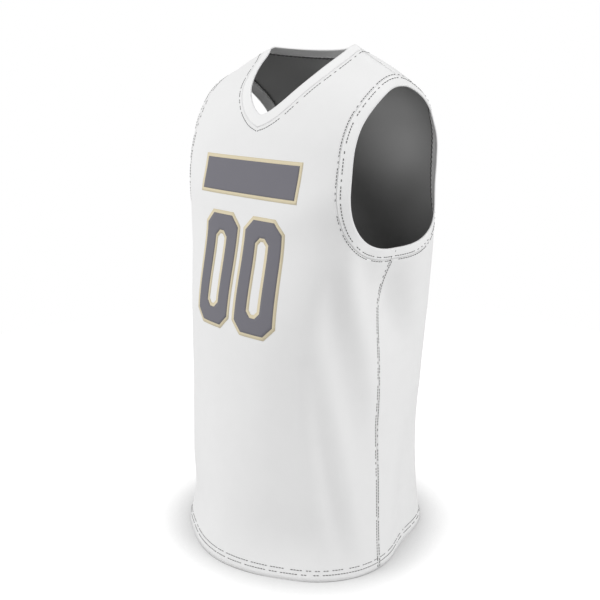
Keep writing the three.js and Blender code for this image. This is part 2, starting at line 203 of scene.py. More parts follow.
class BodyForm:
    """The hollow form that the cloth follows. u runs 0 centre front, 2 side, 4 centre back."""

    def __init__(self, rows: Sequence[Section], folds: Sequence[Fold]) -> None:
        """Reads the section rows and works out their slopes.

        Args:
            rows: sections, lowest first.
            folds: soft ridges and troughs of the cloth.
        """
        self.levels = np.array([row.z for row in rows])
        self.folds = folds
        names = ("front", "fx", "fy", "sx", "sy", "bx", "by", "back")
        self.columns = {name: np.array([getattr(row, name) for row in rows], float) for name in names}
        self.slopes = {name: self._slope(values) for name, values in self.columns.items()}

    def _slope(self, values: Grid) -> Grid:
        """Works out the slope of a column at each row.

        Args:
            values: the column, one value a row.

        Returns:
            Its slopes, per millimetre of level.
        """
        h = np.diff(self.levels)
        d = np.diff(values) / h
        inner = (d[:-1] * h[1:] + d[1:] * h[:-1]) / (h[:-1] + h[1:])
        return np.concatenate(([d[0]], inner, [d[-1]]))

    def column(self, name: str, z: Grid) -> Grid:
        """Reads one column of the sections between its rows.

        Args:
            name: the column.
            z: levels.

        Returns:
            Its smooth values at the levels.
        """
        i = np.clip(np.searchsorted(self.levels, z) - 1, 0, len(self.levels) - 2)
        h = self.levels[i + 1] - self.levels[i]
        values, slopes = self.columns[name], self.slopes[name]
        t = (z - self.levels[i]) / h
        return hermite(values[i], values[i + 1], slopes[i] * h, slopes[i + 1] * h, t)

    def _plan(self, step: Grid, z: Grid) -> Tuple[Grid, Grid]:
        """Reads the plan points at whole steps, mirrored past the centre lines.

        Args:
            step: whole steps round the form.
            z: levels.

        Returns:
            Their x and y.
        """
        beyond = step > BACK_STEP
        k = np.where(step < 0, -step, np.where(beyond, TURN_STEPS - step, step)).astype(int)
        sign = np.where((step < 0) | beyond, -1.0, 1.0)
        zero = np.zeros_like(z)
        xs = np.stack([zero] + [self.column(n, z) for n in ("fx", "sx", "bx")] + [zero])
        ys = np.stack([self.column(n, z) for n in ("front", "fy", "sy", "by", "back")])
        at = np.arange(len(z))
        return sign * xs[k, at], ys[k, at]

    def plain(self, u: Grid, z: Grid) -> Grid:
        """Places points on the form, before folds.

        Args:
            u: steps round the form.
            z: levels.

        Returns:
            The points, in millimetres.
        """
        u, z = np.broadcast_arrays(np.asarray(u, float), np.asarray(z, float))
        i = np.clip(np.floor(u), 0, BACK_STEP - 1).astype(int)
        t = u - i
        corner = [self._plan(i + k, z) for k in (-1, 0, 1, 2)]
        out = []
        for axis in (0, 1):
            p0, p1, p2, p3 = (c[axis] for c in corner)
            out.append(hermite(p1, p2, (p2 - p0) / 2, (p3 - p1) / 2, t))
        return np.stack(out + [z], axis=-1)

    def along(self, u: Grid, z: Grid) -> Tuple[Grid, Grid]:
        """Works out the two tangents of the form.

        Args:
            u: steps round the form.
            z: levels.

        Returns:
            The tangent round the form per step and the one up it per millimetre.
        """
        a = (self.plain(u + STEP_U, z) - self.plain(u - STEP_U, z)) / (2 * STEP_U)
        b = (self.plain(u, z + STEP_Z) - self.plain(u, z - STEP_Z)) / (2 * STEP_Z)
        return a, b

    def outward(self, u: Grid, z: Grid) -> Grid:
        """Works out the normals that point out of the garment.

        Args:
            u: steps round the form.
            z: levels.

        Returns:
            The unit normals.
        """
        a, b = self.along(u, z)
        n = np.cross(a, b)
        return n / np.linalg.norm(n, axis=-1, keepdims=True)

    def relief(self, u: Grid, z: Grid, side: int) -> Grid:
        """Adds up how far the folds lift the cloth.

        Args:
            u: steps round the form.
            z: levels.
            side: 1 for the wearer's left half, -1 for the right.

        Returns:
            The lifts, in millimetres.
        """
        s = np.interp(u, GIRTH_STEPS, GIRTH_MM)
        total = np.zeros_like(s)
        whole = 2 * GIRTH_MM[-1]
        for fold in self.folds:
            if fold.side == side:
                total += self._one_fold(fold, s, z)
            else:
                total += self._one_fold(fold, -s, z)
                total += self._one_fold(fold, whole - s, z)
        return total

    @staticmethod
    def _one_fold(fold: Fold, s: Grid, z: Grid) -> Grid:
        """Works out the lift of one fold.

        Args:
            fold: the fold.
            s: millimetres of cloth from the centre front.
            z: levels.

        Returns:
            Its lifts at those places, in millimetres.
        """
        s0 = np.interp(fold.start[0], GIRTH_STEPS, GIRTH_MM)
        s1 = np.interp(fold.end[0], GIRTH_STEPS, GIRTH_MM)
        dx, dz = s1 - s0, fold.end[1] - fold.start[1]
        length = math.hypot(dx, dz)
        t = ((s - s0) * dx + (z - fold.start[1]) * dz) / length**2
        off = ((s - s0) * dz - (z - fold.start[1]) * dx) / length
        within = np.clip(t, 0.0, 1.0)
        off = off - fold.bow * 4 * within * (1 - within)
        beyond = (t - within) * length
        fade = np.sin(np.pi * (FOLD_FADE + (1 - 2 * FOLD_FADE) * within)) ** fold.blunt
        return fold.depth * fade * np.exp(-((off / fold.width) ** 2) - (beyond / fold.width) ** 2)

    def lay(self, u: Grid, z: Grid, side: int, lift: float = 0.0) -> Grid:
        """Lays points of the cloth, folds included.

        Args:
            u: steps round the form.
            z: levels.
            side: 1 for the wearer's left half, -1 for the right.
            lift: height over the middle of the cloth, in millimetres.

        Returns:
            The points, in metres.
        """
        u, z = np.asarray(u, float), np.asarray(z, float)
        p = self.plain(u, z) + self.outward(u, z) * (lift + self.relief(u, z, side))[..., None]
        p[..., 0] *= side
        return p * MM

    def step_at(self, x: Grid, z: Grid, front: Grid) -> Grid:
        """Finds the steps at which the form has given half widths.

        Args:
            x: half widths in millimetres.
            z: levels.
            front: whether each place is on the front rather than the back.

        Returns:
            The steps.
        """
        x, z, front = np.broadcast_arrays(np.asarray(x, float), np.asarray(z, float), front)
        lo = np.where(front, 0.0, SEAM_STEP)
        hi = lo + SEAM_STEP
        for _ in range(HALVINGS):
            mid = (lo + hi) / 2
            onward = (self.plain(mid, z)[..., 0] < x) == front
            lo, hi = np.where(onward, mid, lo), np.where(onward, hi, mid)
        return (lo + hi) / 2

    def walk(self, places: Grid, way: Grid, distance: float) -> Grid:
        """Moves places over the form.

        Args:
            places: steps and levels, a row each.
            way: directions in space, a row each.
            distance: how far, in millimetres.

        Returns:
            The moved places.
        """
        u, z = places[:, 0].copy(), places[:, 1].copy()
        count = max(1, math.ceil(abs(distance) / WALK_STEP))
        for _ in range(count):
            a, b = self.along(u, z)
            aa, ab, bb = (a * a).sum(1), (a * b).sum(1), (b * b).sum(1)
            da, db = (a * way).sum(1), (b * way).sum(1)
            det = aa * bb - ab * ab
            u += (da * bb - db * ab) / det * distance / count
            z += (db * aa - da * ab) / det * distance / count
        return np.stack([u, z], axis=-1)


# -------------------------------------------------------------------------- edges
@dataclass
class Edges:
    """The edges of the openings, in millimetres, and lines a distance outside them.

    The armhole's reaches are in section steps. Its powers give the squareness of a half
    above and below its widest level.
    """

    form: BodyForm
    v_drop: float = 94
    back_drop: float = 5
    neck_half: float = 82
    v_power: float = 1.42
    v_swell: float = 0.32
    back_power: float = 2.2
    arm_top: float = -54
    arm_foot: float = -268
    arm_level: float = -172
    arm_front: float = 0.86
    arm_back: float = 0.91
    arm_front_powers: Tuple[float, float] = (2.75, 2.3)
    arm_back_powers: Tuple[float, float] = (2.3, 2.5)

    def arm(self, turn: Grid) -> Grid:
        """Places the armhole edge.

        Args:
            turn: turns from its top, the front side first.

        Returns:
            Its steps and levels.
        """
        s, c = np.sin(2 * np.pi * turn), np.cos(2 * np.pi * turn)
        pairs = zip(self.arm_front_powers, self.arm_back_powers)
        above, below = (np.where(s >= 0, front, back) for front, back in pairs)
        power = np.where(c >= 0, above, below)
        k = (np.abs(c) ** power + np.abs(s) ** power) ** (-1 / power)
        reach = np.where(s >= 0, -self.arm_front, self.arm_back)
        height = np.where(c >= 0, self.arm_top - self.arm_level, self.arm_level - self.arm_foot)
        return np.stack([SEAM_STEP + reach * np.abs(s) * k, self.arm_level + c * k * height], axis=-1)

    def neck(self, t: Grid) -> Grid:
        """Places the neck edge.

        Args:
            t: 0 at the V, 1 at the shoulder, 2 at the centre back.

        Returns:
            Its steps and levels.
        """
        inside = np.where(t < 0, -t, np.where(t > 2, 4 - t, t))
        front = inside <= 1
        s = np.where(front, inside, 2 - inside)
        swell = np.where(front, 1 + self.v_swell * (1 - s), 1.0)
        drop = np.where(front, self.v_drop, self.back_drop)
        power = np.where(front, self.v_power, self.back_power)
        z = drop * (s**power - 1)
        u = self.form.step_at(self.neck_half * s * swell, z, front)
        u = np.where(t < 0, -u, np.where(t > 2, TURN_STEPS - u, u))
        return np.stack([u, z], axis=-1)

    def beside(self, edge: Line, t: Grid, distance: float) -> Grid:
        """Places a line beside an edge.

        Args:
            edge: the edge.
            t: places along it.
            distance: millimetres to the right of its run.

        Returns:
            The line's steps and levels.
        """
        here, after, before = edge(t), edge(t + STEP_EDGE), edge(t - STEP_EDGE)
        run = self.form.plain(after[:, 0], after[:, 1]) - self.form.plain(before[:, 0], before[:, 1])
        right = np.cross(run, self.form.outward(here[:, 0], here[:, 1]))
        right /= np.linalg.norm(right, axis=-1, keepdims=True)
        return self.form.walk(here, right, distance)

    def arm_line(self, turn: Grid, distance: float) -> Grid:
        """Grows the armhole edge outwards. Its top and foot stay on the seams.

        Args:
            turn: turns from its top.
            distance: how far outwards, in millimetres.

        Returns:
            The line's steps and levels.
        """
        line = self.beside(self.arm, turn, distance)
        line[np.isin(turn, (0.0, 0.5, 1.0)), 0] = SEAM_STEP
        return line

    def neck_line(self, t: Grid, distance: float) -> Grid:
        """Grows the neck edge outwards, mitred at the V.

        Args:
            t: 0 at the V, 1 at the shoulder, 2 at the centre back.
            distance: how far outwards, in millimetres.

        Returns:
            The line's steps and levels.
        """
        line = self.beside(self.neck, np.clip(t, NEAR_V, 2.0), distance)
        line[t == 1, 0] = SEAM_STEP
        line[t > 2 - AT_END, 0] = BACK_STEP
        near, far = self.beside(self.neck, np.array(MITRE_STOPS), distance)
        line[t < AT_END] = (0.0, near[1] - near[0] * (far[1] - near[1]) / (far[0] - near[0]))
        return line


def even_steps(count: int) -> List[float]:
    """Returns count + 1 even fractions from 0 to 1."""
    return [i / count for i in range(count + 1)]


def between(a: float, b: float, t: float) -> float:
    """Returns the value a share t of the way from a to b."""
    return a + (b - a) * t


def row_between(a: Point, b: Point, count: int) -> List[Point]:
    """Returns count + 1 even places from a to b."""
    return [(between(a[0], b[0], k), between(a[1], b[1], k)) for k in even_steps(count)]


# --------------------------------------------------------------------- mesh making
@dataclass
class Cloth:
    """Collects cloth points and quads, and turns them into one object."""

    form: BodyForm
    lift: float = 0.0
    places: List[Tuple[float, float, int]] = field(default_factory=list)
    uvs: List[Tuple[float, float]] = field(default_factory=list)
    quads: List[Tuple[int, ...]] = field(default_factory=list)

    def add(self, u: float, z: float, side: int, uv: Tuple[float, float]) -> int:
        """Adds one place.

        Args:
            u: its step round the form.
            z: its level.
            side: 1 for the wearer's left, -1 for the right.
            uv: its place on the map of the cloth, in metres.

        Returns:
            Its number.
        """
        self.places.append((u, z, side))
        self.uvs.append(uv)
        return len(self.places) - 1

    def grid(self, rows: Sequence[Sequence[Point]], side: int, turn_over: bool, shared: Dict) -> None:
        """Adds rows of places as quads, joined to the other half on the centre line.

        Args:
            rows: places, row by row.
            side: 1 for the wearer's left, -1 for the right.
            turn_over: whether the rows run clockwise seen from outside.
            shared: numbers of the places on the centre line, by place.
        """
        ids = []
        for row in rows:
            line = []
            for u, z in row:
                key = (round(u, 6), round(z, 4))
                central = u in (0.0, BACK_STEP)
                if central and key in shared:
                    line.append(shared[key])
                    continue
                girth = float(np.interp(u, GIRTH_STEPS, GIRTH_MM))
                number = self.add(u, z, side, (side * girth * MM, z * MM))
                if central:
                    shared[key] = number
                line.append(number)
            ids.append(line)
        flip = (side < 0) != turn_over
        for low, high in zip(ids, ids[1:]):
            for c in range(min(len(low), len(high)) - 1):
                quad = (low[c], low[c + 1], high[c + 1], high[c])
                self.quads.append(quad[::-1] if flip else quad)

    def points(self) -> Grid:
        """Lays every place in space.

        Returns:
            The points, in metres.
        """
        data = np.array(self.places)
        out = np.zeros((len(data), 3))
        for side in (1, -1):
            pick = data[:, 2] == side
            if pick.any():
                out[pick] = self.form.lay(data[pick, 0], data[pick, 1], side, self.lift)
        return out

    def build(self, name: str) -> bpy.types.Object:
        """Returns the sheet as a smooth object of one layer, with a map of the cloth."""
        return new_mesh(name, self.points(), self.quads, self.uvs)


def new_mesh(name: str, points: Grid, faces: Sequence, uvs: Sequence = ()) -> bpy.types.Object:
    """Makes an object from points and faces.

    Args:
        name: its name.
        points: places in metres.
        faces: corner numbers of each face.
        uvs: map places of the points, if the finish follows the cloth.

    Returns:
        The new object, in the scene.
    """
    mesh = bpy.data.meshes.new(name)
    mesh.from_pydata([tuple(map(float, p)) for p in points], [], [tuple(map(int, f)) for f in faces])
    mesh.update()
    if len(uvs):
        layer = mesh.uv_layers.new(name="cloth_map")
        corners = np.zeros(len(mesh.loops), dtype=np.int32)
        mesh.loops.foreach_get("vertex_index", corners)
        layer.data.foreach_set("uv", np.asarray(uvs, float)[corners].ravel())
    mesh.polygons.foreach_set("use_smooth", [True] * len(mesh.polygons))
    obj = bpy.data.objects.new(name, mesh)
    bpy.context.scene.collection.objects.link(obj)
    return obj


def only(obj: bpy.types.Object) -> None:
    """Selects one object alone and makes it active."""
    bpy.ops.object.select_all(action="DESELECT")
    obj.select_set(True)
    bpy.context.view_layer.objects.active = obj


def thicken(obj: bpy.types.Object, wall: float, inner_slot: int = 0) -> None:
    """Gives a sheet its wall, centred on the sheet.

    Args:
        obj: the sheet.
        wall: thickness in millimetres.
        inner_slot: how many material slots on the inside's finish stands.
    """
    only(obj)
    solid = obj.modifiers.new("wall", "SOLIDIFY")
    solid.thickness = wall * MM
    solid.offset = 0.0
    solid.use_even_offset = False
    solid.material_offset = inner_slot
    bpy.ops.object.modifier_apply(modifier=solid.name)


@dataclass(frozen=True)
class Cut:
    """The flat cut of what shows of a piece of cloth: metres and square metres."""

    width: float
    length: float
    area: float

    def declare(self, obj: bpy.types.Object, held: str, rests_on: Sequence[str] = (),
                with_pieces: Sequence[bpy.types.Object] = ()) -> None:
        """Does nothing with the cut of a finished sheet.

        Args:
            obj: the sheet, not used.
            held: how it is held, not used.
            rests_on: names of what it lies on or hangs from, not used.
            with_pieces: separate pieces sewn on it, not used.
        """


# ------------------------------------------------------------------------ finishes
@dataclass(frozen=True)
class Knit:
    """A matt knitted or woven cloth: colour, weave size and depth of its relief."""

    colour: Tuple[float, float, float]
    weave: float = 1400.0
    relief: float = 0.06
    roughness: float = 0.9
    specular: float = 0.2
    sheen: float = 0.15
    sheen_roughness: float = 0.6
    mottle: float = 0.015
    mottle_scale: float = 40.0
    weave_height: float = 0.0003

    def make(self, finish: Finish) -> bpy.types.Material:
        """Makes the material, with a fine procedural weave and a faint unevenness.

        Args:
            finish: the finish that names it.

        Returns:
            The material.
        """
        material = bpy.data.materials.new(finish.value)
        material.use_nodes = True
        nodes, links = material.node_tree.nodes, material.node_tree.links
        shader = nodes["Principled BSDF"]
        shader.inputs["Roughness"].default_value = self.roughness
        shader.inputs["Specular IOR Level"].default_value = self.specular
        shader.inputs["Sheen Weight"].default_value = self.sheen
        shader.inputs["Sheen Roughness"].default_value = self.sheen_roughness
        place = nodes.new("ShaderNodeTexCoord")
        tint = nodes.new("ShaderNodeTexNoise")
        tint.inputs["Scale"].default_value = self.mottle_scale
        links.new(place.outputs["Object"], tint.inputs["Vector"])
        ramp = nodes.new("ShaderNodeMix")
        ramp.data_type = "RGBA"
        light = tuple(min(1.0, c * (1 + self.mottle)) for c in self.colour)
        dark = tuple(c * (1 - self.mottle) for c in self.colour)
        ramp.inputs["A"].default_value = (*dark, 1)
        ramp.inputs["B"].default_value = (*light, 1)
        links.new(tint.outputs["Fac"], ramp.inputs["Factor"])
        links.new(ramp.outputs["Result"], shader.inputs["Base Color"])
        stitches = nodes.new("ShaderNodeTexVoronoi")
        stitches.inputs["Scale"].default_value = self.weave
        links.new(place.outputs["Object"], stitches.inputs["Vector"])
        bump = nodes.new("ShaderNodeBump")
        bump.inputs["Strength"].default_value = self.relief
        bump.inputs["Distance"].default_value = self.weave_height
        links.new(stitches.outputs["Distance"], bump.inputs["Height"])
        links.new(bump.outputs["Normal"], shader.inputs["Normal"])
        return material


FINISHES: Dict[Finish, Knit] = {
    Finish.CLOTH: Knit((0.80, 0.80, 0.80)),
    # Painted shade: the white mesh knit painted dark grey on its inner face.
    Finish.CLOTH_INSIDE: Knit((0.27, 0.27, 0.27), sheen=0.05),
    Finish.BAND: Knit((0.83, 0.83, 0.83), weave=1100.0, relief=0.08),
    # Painted shade: the band knit painted light grey on its inner face.
    Finish.BAND_INSIDE: Knit((0.62, 0.62, 0.62), weave=1100.0, relief=0.08),
    Finish.EDGING: Knit((0.70, 0.62, 0.44), weave=1800.0, relief=0.04, sheen=0.05),
    Finish.FACE: Knit((0.178, 0.175, 0.198), weave=1800.0, relief=0.04, sheen=0.05),
    Finish.THREAD: Knit((0.05, 0.05, 0.05), sheen=0.0),
    Finish.PALE_THREAD: Knit((0.75, 0.75, 0.75), sheen=0.0),
}


class Wardrobe:
    """Makes each finish once and hands it out."""

    def __init__(self) -> None:
        """Starts with nothing made."""
        self.made: Dict[Finish, bpy.types.Material] = {}

    def get(self, finish: Finish) -> bpy.types.Material:
        """Hands out the material of a finish.

        Args:
            finish: the finish.

        Returns:
            Its material, made the first time.
        """
        if finish not in self.made:
            self.made[finish] = FINISHES[finish].make(finish)
        return self.made[finish]

    def dress(self, obj: bpy.types.Object, *finishes: Finish) -> None:
        """Puts finishes in an object's slots, in order."""
        for finish in finishes:
            obj.data.materials.append(self.get(finish))


# -------------------------------------------------------------------------- panels
@dataclass
class Panels:
    """Front and back, each cut in one with its turned-up hem."""

    form: BodyForm
    edges: Edges
    wall: float = 1.2
    seam_edge: float = 17.15
    seam_half: float = 0.12
    length: float = 746
    hem_depth: float = 20
    columns: int = 44
    arc_columns: int = 18
    body_rows: int = 84
    chest_rows: int = 34
    strap_rows: int = 36
    arc_turn: Tuple[float, float] = (0.385, 0.375)
    strap_turn: Tuple[float, float] = (0.155, 0.085)
    hem_columns: int = 48
    hem_rows: int = 4
    hem_inset: float = 0.4
    hem_gap: float = 0.1
    hem_short: float = 0.01
    front_cut: Cut = Cut(0.54, 0.80, 0.325)
    back_cut: Cut = Cut(0.66, 0.81, 0.378)

    def turns(self, front: bool) -> Grid:
        """Lists the armhole turns that the rows meet, foot to top.

        Args:
            front: whether the panel is the front.

        Returns:
            The turns.
        """
        arc, start = (pair[0 if front else 1] for pair in (self.arc_turn, self.strap_turn))
        marks = [between(0.5, arc, k) for k in even_steps(self.arc_columns)]
        marks += [between(arc, start, k) for k in even_steps(self.chest_rows)][1:]
        marks += [between(start, 0, k) for k in even_steps(self.strap_rows)][1:]
        return np.array(marks) if front else 1 - np.array(marks)

    def seam(self, front: bool, z: Grid) -> Grid:
        """Places a panel's edge along the side or shoulder seam.

        Args:
            front: whether the panel is the front.
            z: levels.

        Returns:
            The edge's steps at the levels.
        """
        a, _ = self.form.along(np.full(np.shape(z), SEAM_STEP), z)
        gap = self.seam_half / np.linalg.norm(a, axis=-1)
        return SEAM_STEP + (-gap if front else gap)

    def held(self, front: bool, line: Grid) -> List[Point]:
        """Keeps a line on its own side of the side and shoulder seams.

        Args:
            front: whether the panel is the front.
            line: steps and levels, a row each.

        Returns:
            The places of the line.
        """
        edge = self.seam(front, line[:, 1])
        u = np.minimum(line[:, 0], edge) if front else np.maximum(line[:, 0], edge)
        return [(float(a), float(b)) for a, b in zip(u, line[:, 1])]

    def rows(self, front: bool) -> List[List[Point]]:
        """Lays out one half of a panel.

        Args:
            front: whether the panel is the front.

        Returns:
            Its rows, hem to shoulder, each from the centre line to the side.
        """
        centre = 0.0 if front else BACK_STEP
        arm = self.held(front, self.edges.arm_line(self.turns(front), self.seam_edge))
        arc = arm[: self.arc_columns + 1][::-1]
        climb = np.array(even_steps(self.strap_rows))
        neck = self.held(front, self.edges.neck_line(climb if front else 2 - climb, self.seam_edge))
        neck[0] = (centre, neck[0][1])
        tops = row_between((centre, arc[0][1]), arc[0], self.columns) + arc[1:]
        rows = []
        for k in even_steps(self.body_rows):
            line = [(u, between(-self.length, z, k)) for u, z in tops]
            side = float(self.seam(front, np.array([line[-1][1]]))[0])
            rows.append(line[:-1] + [(side, line[-1][1])])
        for i, k in enumerate(even_steps(self.chest_rows)[1:], 1):
            start = (centre, between(arc[0][1], neck[0][1], k))
            rows.append(row_between(start, arm[self.arc_columns + i], self.columns))
        for i in range(1, self.strap_rows + 1):
            end = arm[self.arc_columns + self.chest_rows + i]
            rows.append(row_between(neck[i], end, self.columns))
        return rows

    def panel(self, name: str, front: bool) -> bpy.types.Object:
        """Makes one whole panel, still of one layer.

        Args:
            name: its name.
            front: whether it is the front.

        Returns:
            The panel.
        """
        cloth = Cloth(self.form)
        shared: Dict = {}
        rows = self.rows(front)
        for side in (1, -1):
            cloth.grid(rows, side, not front, shared)
        return cloth.build(name)

    def hem(self, name: str, front: bool) -> bpy.types.Object:
        """Makes the turned-up inner layer of a panel's hem.

        Args:
            name: its name.
            front: whether the panel is the front.

        Returns:
            The layer, still without its wall.
        """
        cloth = Cloth(self.form, lift=-self.wall - self.hem_gap)
        shared: Dict = {}
        start = 0.0 if front else BACK_STEP
        end = SEAM_STEP - self.hem_short if front else SEAM_STEP + self.hem_short
        low, high = -self.length + self.hem_inset, -self.length + self.hem_depth
        levels = [between(low, high, k) for k in even_steps(self.hem_rows)]
        rows = [row_between((start, z), (end, z), self.hem_columns) for z in levels]
        for side in (1, -1):
            cloth.grid(rows, side, not front, shared)
        return cloth.build(name)

    def build(self, wardrobe: Wardrobe) -> None:
        """Makes both panels and their hems, and puts them in the frame.

        Args:
            wardrobe: the finishes.
        """
        for front, node in ((True, "front_panel"), (False, "back_panel")):
            panel = self.panel(f"{node}_cloth", front)
            # White outside; the inner face gets the painted shade grey.
            wardrobe.dress(panel, Finish.CLOTH, Finish.CLOTH_INSIDE)
            thicken(panel, self.wall, inner_slot=1)
            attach(panel, "root")
            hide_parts(node)
            hem = self.hem(f"{node}_hem", front)
            wardrobe.dress(hem, Finish.CLOTH, Finish.CLOTH)
            thicken(hem, self.wall, inner_slot=1)
            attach(hem, "root")
            cut = self.front_cut if front else self.back_cut
            cut.declare(panel, "hung", with_pieces=(hem,))
            LOG.info("%s: %d faces", panel.name, len(panel.data.polygons))


# --------------------------------------------------------------------------- bands
@dataclass
class Bands:
    """The folded bands of the neck and the armholes."""

    form: BodyForm
    edges: Edges
    panels: Panels
    width: float = 17
    wall: float = 1.8
    columns: int = 7
    join_reach: float = 1e-5
    neck_cut: Cut = Cut(0.017, 0.569, 0.00967)
    arm_cut: Cut = Cut(0.017, 0.672, 0.01142)

    def neck_stops(self) -> Grid:
        """Returns the stops round the neck, from the V to the centre back."""
        half = np.array(even_steps(self.panels.strap_rows))
        return np.concatenate((half, 1 + half[1:]))

    def neckband(self) -> bpy.types.Object:
        """Makes the neck band, one strip mitred at the V.

        Returns:
            The band, still of one layer.
        """
        stops = self.neck_stops()
        outer, inner = self.edges.neck_line(stops, self.width), self.edges.neck(stops)
        inner[0, 0], inner[-1, 0] = 0.0, BACK_STEP
        rows = [row_between(tuple(a), tuple(b), self.columns) for a, b in zip(outer, inner)]
        cloth = Cloth(self.form)
        shared: Dict = {}
        for side in (1, -1):
            cloth.grid(rows, side, True, shared)
        return cloth.build("neckband_cloth")

    def armband(self, name: str, side: int) -> bpy.types.Object:
        """Makes the band of one armhole, joined end to end.

        Args:
            name: its name.
            side: 1 for the wearer's left, -1 for the right.

        Returns:
            The band, still of one layer.
        """
        turns = np.concatenate((self.panels.turns(True)[::-1], self.panels.turns(False)[1:]))
        inner, outer = self.edges.arm(turns), self.edges.arm_line(turns, self.width)
        rows = [row_between(tuple(a), tuple(b), self.columns) for a, b in zip(inner, outer)]
        rows[-1] = list(rows[0])
        cloth = Cloth(self.form)
        cloth.grid(rows, side, False, {})
        obj = cloth.build(name)
        only(obj)
        bpy.ops.object.mode_set(mode="EDIT")
        bpy.ops.mesh.select_all(action="SELECT")
        bpy.ops.mesh.remove_doubles(threshold=self.join_reach)
        bpy.ops.object.mode_set(mode="OBJECT")
        return obj

    def build(self, wardrobe: Wardrobe) -> None:
        """Makes the three bands and puts them in the frame.

        Args:
            wardrobe: the finishes.
        """
        made = {
            "neckband": self.neckband(),
            "armband_left": self.armband("armband_left_cloth", 1),
            "armband_right": self.armband("armband_right_cloth", -1),
        }
        for node, band in made.items():
            # Bands white outside; their inner faces get the painted shade grey.
            wardrobe.dress(band, Finish.BAND, Finish.BAND_INSIDE)
            thicken(band, self.wall, inner_slot=1)
            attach(band, "root")
            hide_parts(node)
            cut = self.neck_cut if node == "neckband" else self.arm_cut
            cut.declare(band, "hung", rests_on=("front_panel_cloth", "back_panel_cloth"))
            LOG.info("%s: %d faces", band.name, len(band.data.polygons))


# --------------------------------------------------------------------------- twill
@dataclass
class Twill:
    """The plain bar and the block noughts laid on the front, face on edging."""

    form: BodyForm
    outline: float = 5
    film: float = 0.25
    edging_lift: float = 0.78
    face_lift: float = 1.08
    bar_low: float = -201
    bar_high: float = -156
    bar_half: float = 97
    level: float = -312
    middle: float = 44.5
    half_wide: float = 36
    half_high: float = 78
    stroke: float = 23
    cut: float = 15
    inner_cut: float = 8.25
    cut_growth: float = 0.59
    bar_columns: int = 60
    bar_rows: int = 16
    loop_columns: Tuple[int, ...] = (4, 8, 4, 24, 4, 8, 4, 24)
    stroke_rows: int = 6
    bar_cuts: Tuple[Cut, Cut] = (Cut(0.204, 0.055, 0.01122), Cut(0.194, 0.045, 0.00873))
    figure_cuts: Tuple[Cut, Cut] = (Cut(0.082, 0.166, 0.01142), Cut(0.072, 0.156, 0.00806))

    def place(self, cloth: Cloth, xs: Grid, zs: Grid) -> List[int]:
        """Adds places of the front by width and height.

        Args:
            cloth: the sheet that they go to.
            xs: widths from the centre line.
            zs: levels.

        Returns:
            Their numbers.
        """
        us = self.form.step_at(np.abs(xs), zs, np.full(len(xs), True))
        return [cloth.add(float(u), float(z), 1 if x >= 0 else -1, (float(x) * MM, float(z) * MM))
                for u, x, z in zip(us, xs, zs)]

    def bar(self, name: str, lift: float, grow: float) -> bpy.types.Object:
        """Makes one layer of the bar.

        Args:
            name: its name.
            lift: height of its middle over the cloth's.
            grow: how far its edge stands outside the face's.

        Returns:
            The layer, still without its wall.
        """
        cloth = Cloth(self.form, lift=lift)
        half, low, high = self.bar_half + grow, self.bar_low - grow, self.bar_high + grow
        across = np.array([between(-half, half, k) for k in even_steps(self.bar_columns)])
        levels = [between(low, high, k) for k in even_steps(self.bar_rows)]
        ids = [self.place(cloth, across, np.full(len(across), z)) for z in levels]
        for lower, upper in zip(ids, ids[1:]):
            cloth.quads += [(lower[c], lower[c + 1], upper[c + 1], upper[c]) for c in range(len(lower) - 1)]
        return cloth.build(name)

    def corner_loop(self, middle: float, wide: float, high: float, cut: float) -> List[Point]:
        """Lists the outline of a block figure with cut corners, anticlockwise.

        Args:
            middle: its middle, from the centre line.
            wide: its half width.
            high: its half height.
            cut: size of its cut corners.

        Returns:
            The places of the outline, by width and level.
        """
        corners = [(wide, high - cut), (wide - cut, high), (cut - wide, high), (-wide, high - cut),
                   (-wide, cut - high), (cut - wide, -high), (wide - cut, -high), (wide, cut - high)]
        out = []
        for i, count in enumerate(self.loop_columns):
            a, b = corners[i], corners[(i + 1) % len(corners)]
            out += [(middle + x, self.level + z) for x, z in row_between(a, b, count)[:-1]]
        return out

    def nought(self, name: str, middle: float, lift: float, grow: float) -> bpy.types.Object:
        """Makes one layer of a block nought.

        Args:
            name: its name.
            middle: its middle, from the centre line.
            lift: height of its middle over the cloth's.
            grow: how far its edges stand outside the face's.

        Returns:
            The layer, still without its wall.
        """
        cut, inner_cut = self.cut + grow * self.cut_growth, self.inner_cut - grow * self.cut_growth
        wide, high = self.half_wide - self.stroke - grow, self.half_high - self.stroke - grow
        outer = self.corner_loop(middle, self.half_wide + grow, self.half_high + grow, cut)
        inner = self.corner_loop(middle, wide, high, inner_cut)
        cloth = Cloth(self.form, lift=lift)
        ids = []
        for k in even_steps(self.stroke_rows):
            ring = np.array([(between(a[0], b[0], k), between(a[1], b[1], k)) for a, b in zip(outer, inner)])
            ids.append(self.place(cloth, ring[:, 0], ring[:, 1]))
        after = [(i + 1) % len(outer) for i in range(len(outer))]
        for lower, upper in zip(ids, ids[1:]):
            cloth.quads += [(lower[i], lower[j], upper[j], upper[i]) for i, j in enumerate(after)]
        return cloth.build(name)

    def build(self, wardrobe: Wardrobe) -> None:
        """Makes edging and face of the bar and both noughts, and puts them in the frame.

        Args:
            wardrobe: the finishes.
        """
        layers = ((Finish.EDGING, "edging", self.edging_lift, self.outline),
                  (Finish.FACE, "face", self.face_lift, 0.0))
        for layer, (finish, word, lift, grow) in enumerate(layers):
            made = {f"bar_{word}": self.bar(f"bar_{word}_twill", lift, grow)}
            for side, sign in (("left", 1), ("right", -1)):
                name = f"figure_{side}_{word}"
                made[name] = self.nought(f"{name}_twill", sign * self.middle, lift, grow)
            for node, piece in made.items():
                wardrobe.dress(piece, finish)
                thicken(piece, self.film)
                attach(piece, "root")
                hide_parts(node)
                cut = (self.bar_cuts if node.startswith("bar") else self.figure_cuts)[layer]
                below = "front_panel_cloth" if layer == 0 else piece.name.replace("face", "edging")
                cut.declare(piece, "laid", rests_on=(below,))
                LOG.info("%s: %d faces", piece.name, len(piece.data.polygons))


